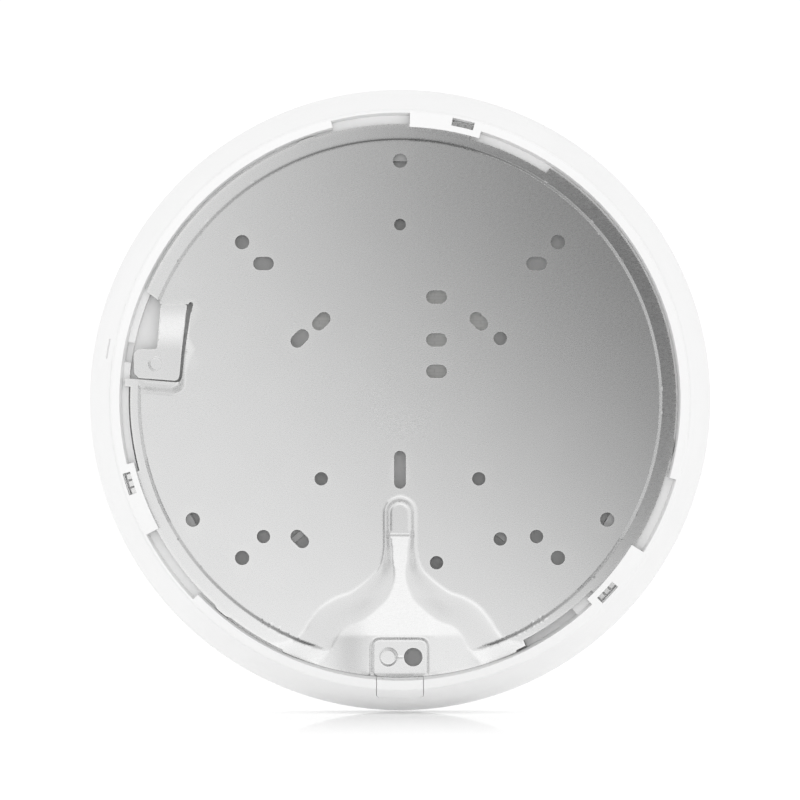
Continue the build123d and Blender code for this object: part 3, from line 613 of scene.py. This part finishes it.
def disc_and_flange(x, y):
    """Height of the disc, its step, the flange and the shelf under the lock tongue."""
    r = np.hypot(x, y)
    step_width = STEP[1] - STEP[0]
    from_shelf = -depth_inside(x, y, SHELF)
    shelf_rise = SHELF_STEEPNESS * from_shelf - SHELF_SHIFT
    raised = soft_min((sum(STEP) / 2 - r) / step_width, shelf_rise, 0.3)
    flange = FLANGE_Z + FLANGE_TILT * np.clip(FLANGE_R - r, 0, FLANGE_R - STEP[1])
    return flange * (1 - ramped(raised + 0.5))


def tray_floor(x, y):
    """Height of the tray's floor, with the line where it starts to fall."""
    fall = (FALL_Y[0] - y) / (FALL_Y[0] - FALL_Y[1])
    end = WING_Z + (TRAY_Z - WING_Z) * ease((24 - np.abs(x)) / 16)
    return GROOVE_Z + (end - GROOVE_Z) * np.clip(fall, 0, 1) - FALL_LINE * bell(y, FALL_Y[0], 0.22)


def pocket_relief(x, y):
    """The cable pocket's step in the tray's floor, its knock-out boss and the link that holds it."""
    step = -POCKET_DEPTH * ramped(depth_inside(x, y, POCKET) / 1.15 + 0.5)
    boss = KNOCKOUT_H * ease((KNOCKOUT_R - np.hypot(x - KNOCKOUT[0], y - KNOCKOUT[1])) / 0.7)
    link = -0.12 * bell(y, KNOCKOUT[1], 0.18) * (np.abs(x - 0.1) < 0.9)
    return step + boss + link


def plate_height(x, y):
    """The top surface of the pressed plate."""
    z = disc_and_flange(x, y)
    near = (np.abs(x) < 50) & (y < -28)
    tx, ty = x[near], y[near]
    wall = np.interp(-ty, WALL_Y, WALL_WIDTH)
    blend = ramped((depth_inside(tx, ty, TRAY) + WALL_OUT * wall) / wall)
    z[near] = z[near] * (1 - blend) + tray_floor(tx, ty) * blend
    low = (np.abs(x) < 14) & (y < -70)
    z[low] += pocket_relief(x[low], y[low])
    return z


def mounting_plate():
    outline = plate_outline()
    holes = plate_holes()
    rings = [p for hole in holes for away in (0.12, 0.35) for p in offset_ring(hole, away)]
    holes += [WINDOW, SLIT_END]
    spots = [polar(r, k * 0.6) for r in STEP_RINGS for k in range(600)]
    spots += grid(-46, 46, -86.4, -29, 0.75)            # tray
    spots += grid(-10.6, 10.6, -86.4, -73.2, 0.28)      # pocket
    spots += grid(-4.6, 4.6, -43.2, -41.4, 0.15)        # start of the fall
    spots += grid(-80, -66.5, 0.5, 9, 0.3)              # shelf's wall
    spots += grid(-80, 80, -80, 80, 4.0)
    spots = [p for p in spots if math.hypot(*p) < FLANGE_R - 0.1]
    spots = clear_of(spots, [outline, *holes], 0.3)
    return sheet_mesh("plate_sheet", outline, holes, plate_height, rings + spots)


# ---------------------------------------------------------------- lock tongue
TONGUE = rounded([(-74.97, 30.0), (-66.7, 30.0), (-68.6, 14.9), (-69.2, 7.9), (-69.6, 6.5), (-70.6, 6.05),
                  (-82.0, 6.9), (-83.5, 8.4), (-83.5, 14.8), (-82.2, 16.0), (-76.3, 16.0)], 0.9)
ROOT_Y, LEVEL_Y = 30.0, 16.0
DIMPLE, DIMPLE_R, DIMPLE_SIDE, DIMPLE_DEPTH = (-76.7, 11.3), 2.25, 0.45, 0.35


def tongue_height(x, y):
    """The tongue slopes from the disc down to the flange's level; its ear has a pressed dimple."""
    z = FLANGE_Z * ease((ROOT_Y - y) / (ROOT_Y - LEVEL_Y))
    off = np.hypot(x - DIMPLE[0], y - DIMPLE[1])
    return z - DIMPLE_DEPTH * ease((DIMPLE_R - off) / DIMPLE_SIDE)


def lock_tongue():
    spots = grid(-84, -66, 5, 30, 0.4)
    for r in (1.6, 1.8, 1.95, 2.1, 2.25, 2.4):
        spots += circle(*DIMPLE, r, 40)
    return sheet_mesh("tongue_sheet", TONGUE, [], tongue_height, clear_of(spots, [TONGUE], 0.2))


tongue = lock_tongue()
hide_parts("lock_tongue")
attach(tongue, "tongue")

plate = mounting_plate()
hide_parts("mounting_plate")
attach(plate, "mount")


# ---------------------------------------------------------------- camera
def add(name, data, place=(0, 0, 0)):
    made = bpy.data.objects.new(name, data)
    made.location = place
    bpy.context.scene.collection.objects.link(made)
    return made


CAMERA_Z = 1.9
SENSOR = 36.0
WIDTH_SEEN = 0.250784   # width of the picture at the ceiling plane

lens = bpy.data.cameras.new("camera")
lens.sensor_width = SENSOR
lens.lens = SENSOR * CAMERA_Z / WIDTH_SEEN
lens.clip_start, lens.clip_end = 0.01, 20
bpy.context.scene.camera = add("camera", lens, (0, 0, CAMERA_Z))


# ---------------------------------------------------------------- stage and light
FLOOR_GAP = 0.0002
FLOOR_SIZE = 6.0
FLOOR_FRONT = 1.6
FLOOR_SHEEN = 0.62
FLOOR_SHEEN_Z = (-0.03, 0.24)   # the floor's sheen fades out over this stretch towards the camera


def floor_material():
    """Pale and faintly lit by itself, with a sheen near the unit; clear from behind."""
    n = Nodes("floor")
    pale = n.node("ShaderNodeBsdfDiffuse", Color=(0.95, 0.95, 0.95, 1))
    glow = n.node("ShaderNodeEmission", Strength=0.12)
    lit = n.node("ShaderNodeAddShader")
    n.link(pale.outputs["BSDF"], lit.inputs[0])
    n.link(glow.outputs["Emission"], lit.inputs[1])
    place = n.node("ShaderNodeSeparateXYZ")
    n.link(n.coords.outputs["Object"], place.inputs["Vector"])
    fade = n.remapped(place.outputs["Z"], *FLOOR_SHEEN_Z, FLOOR_SHEEN, 0.0)
    grazing = n.node("ShaderNodeFresnel", IOR=1.15)
    sheen = n.node("ShaderNodeBsdfGlossy", Color=(1, 1, 1, 1), Roughness=0.03)
    front = n.node("ShaderNodeMixShader")
    n.link(n.times(fade, grazing.outputs["Fac"]), front.inputs["Fac"])
    n.link(lit.outputs["Shader"], front.inputs[1])
    n.link(sheen.outputs["BSDF"], front.inputs[2])
    clear = n.node("ShaderNodeBsdfTransparent")
    geometry = n.node("ShaderNodeNewGeometry")
    sides = n.node("ShaderNodeMixShader")
    n.link(geometry.outputs["Backfacing"], sides.inputs["Fac"])
    n.link(front.outputs["Shader"], sides.inputs[1])
    n.link(clear.outputs["BSDF"], sides.inputs[2])
    n.surface(sides.outputs["Shader"])
    return n.mat


def standing_floor():
    """The floor that the unit stands on with its rim's lowest edge."""
    y, half = CAD_LO.y - FLOOR_GAP, FLOOR_SIZE
    mesh = bpy.data.meshes.new("floor")
    corners = [(-half, y, -half), (half, y, -half), (half, y, FLOOR_FRONT), (-half, y, FLOOR_FRONT)]
    mesh.from_pydata(corners, [], [(3, 2, 1, 0)])
    mesh.materials.append(floor_material())
    made = add("floor", mesh)
    made.visible_glossy = False


PANEL_Z = 0.3
PANEL_HALF = 6.0
PANEL_LEVEL = 0.93      # brightness over the unit
PANEL_FALL = 5.7        # lost per metre towards +X +Y
PANEL_BEND = 0.014      # how softly the fall sets in
FAR_LEVEL = 0.95


def overhead_level(x, y):
    """The panel's brightness: falls off towards +X +Y, bright towards -Y and darker far out."""
    r = np.hypot(x, y) + 1e-6
    diagonal = 0.7 * (x + y)
    # Past the disc's reflection the fall turns more towards +X, for the flange.
    beyond = ease((r - 0.1) / 0.03)
    across = diagonal * (1 - beyond) + (0.8 * x + 0.25 * y) * beyond
    lost = PANEL_FALL * PANEL_BEND * np.logaddexp(0, (across + 0.038) / PANEL_BEND)
    near = np.maximum(PANEL_LEVEL - lost, 0.06)
    # Towards -Y it stays bright, for the tray.
    over_tray = (1 - ease((y + 0.1) / 0.05)) * np.exp(-(x / 0.1) ** 4)
    near = near * (1 - over_tray) + PANEL_LEVEL * over_tray
    # Far out it is darker towards +X +Y and in a wide ring.
    turned_away = ease((diagonal / r - 0.15) / 0.6)
    left = ease((-x / r - 0.6) / 0.35)
    ring = ease((r - 0.85) / 0.5)
    far = 0.8 * turned_away + FAR_LEVEL * (1 - turned_away)
    far = far * (1 - (0.5 - 0.25 * left - 0.5 * turned_away) * ring) + 0.08 * ring * turned_away
    # A brighter strip lights the falling floor of the tray.
    outside = ease((r - 0.17) / 0.12)
    strip = bell(y, -0.17, 0.06) * np.exp(-(x / 0.15) ** 4)
    return near * (1 - outside) + far * outside + 0.42 * strip


def overhead_panel(count=120):
    """A panel that only reflections see; its mesh is finer near the middle."""
    xs = np.linspace(-1, 1, count)
    xs = np.sign(xs) * np.abs(xs) ** 1.8 * PANEL_HALF
    px, py = np.meshgrid(xs, xs)
    verts = [(u, v, PANEL_Z) for u, v in zip(px.ravel(), py.ravel())]
    faces = [(j * count + i, (j + 1) * count + i, (j + 1) * count + i + 1, j * count + i + 1)
             for j in range(count - 1) for i in range(count - 1)]
    mesh = bpy.data.meshes.new("overhead")
    mesh.from_pydata(verts, [], faces)
    level = mesh.attributes.new("level", "FLOAT", "POINT")
    level.data.foreach_set("value", overhead_level(px, py).ravel().astype(np.float32))
    n = Nodes("overhead")
    glow = n.node("ShaderNodeEmission")
    n.link(n.attribute("level"), glow.inputs["Strength"])
    n.surface(glow.outputs["Emission"])
    n.mat.cycles.emission_sampling = "NONE"
    mesh.materials.append(n.mat)
    made = add("overhead", mesh)
    for ray in ("camera", "diffuse", "transmission", "volume_scatter", "shadow"):
        setattr(made, "visible_" + ray, False)


standing_floor()
overhead_panel()

sun = bpy.data.lights.new("front", "SUN")
sun.energy = 0.4
sun.angle = math.radians(25)
add("front", sun, (0, 0, 2.5)).visible_glossy = False

world = bpy.data.worlds.new("studio")
world.use_nodes = True
sky = world.node_tree.nodes["Background"]
sky.inputs["Color"].default_value = (1, 1, 1, 1)
sky.inputs["Strength"].default_value = 1.07
bpy.context.scene.world = world
bpy.context.scene.view_settings.view_transform = "Standard"
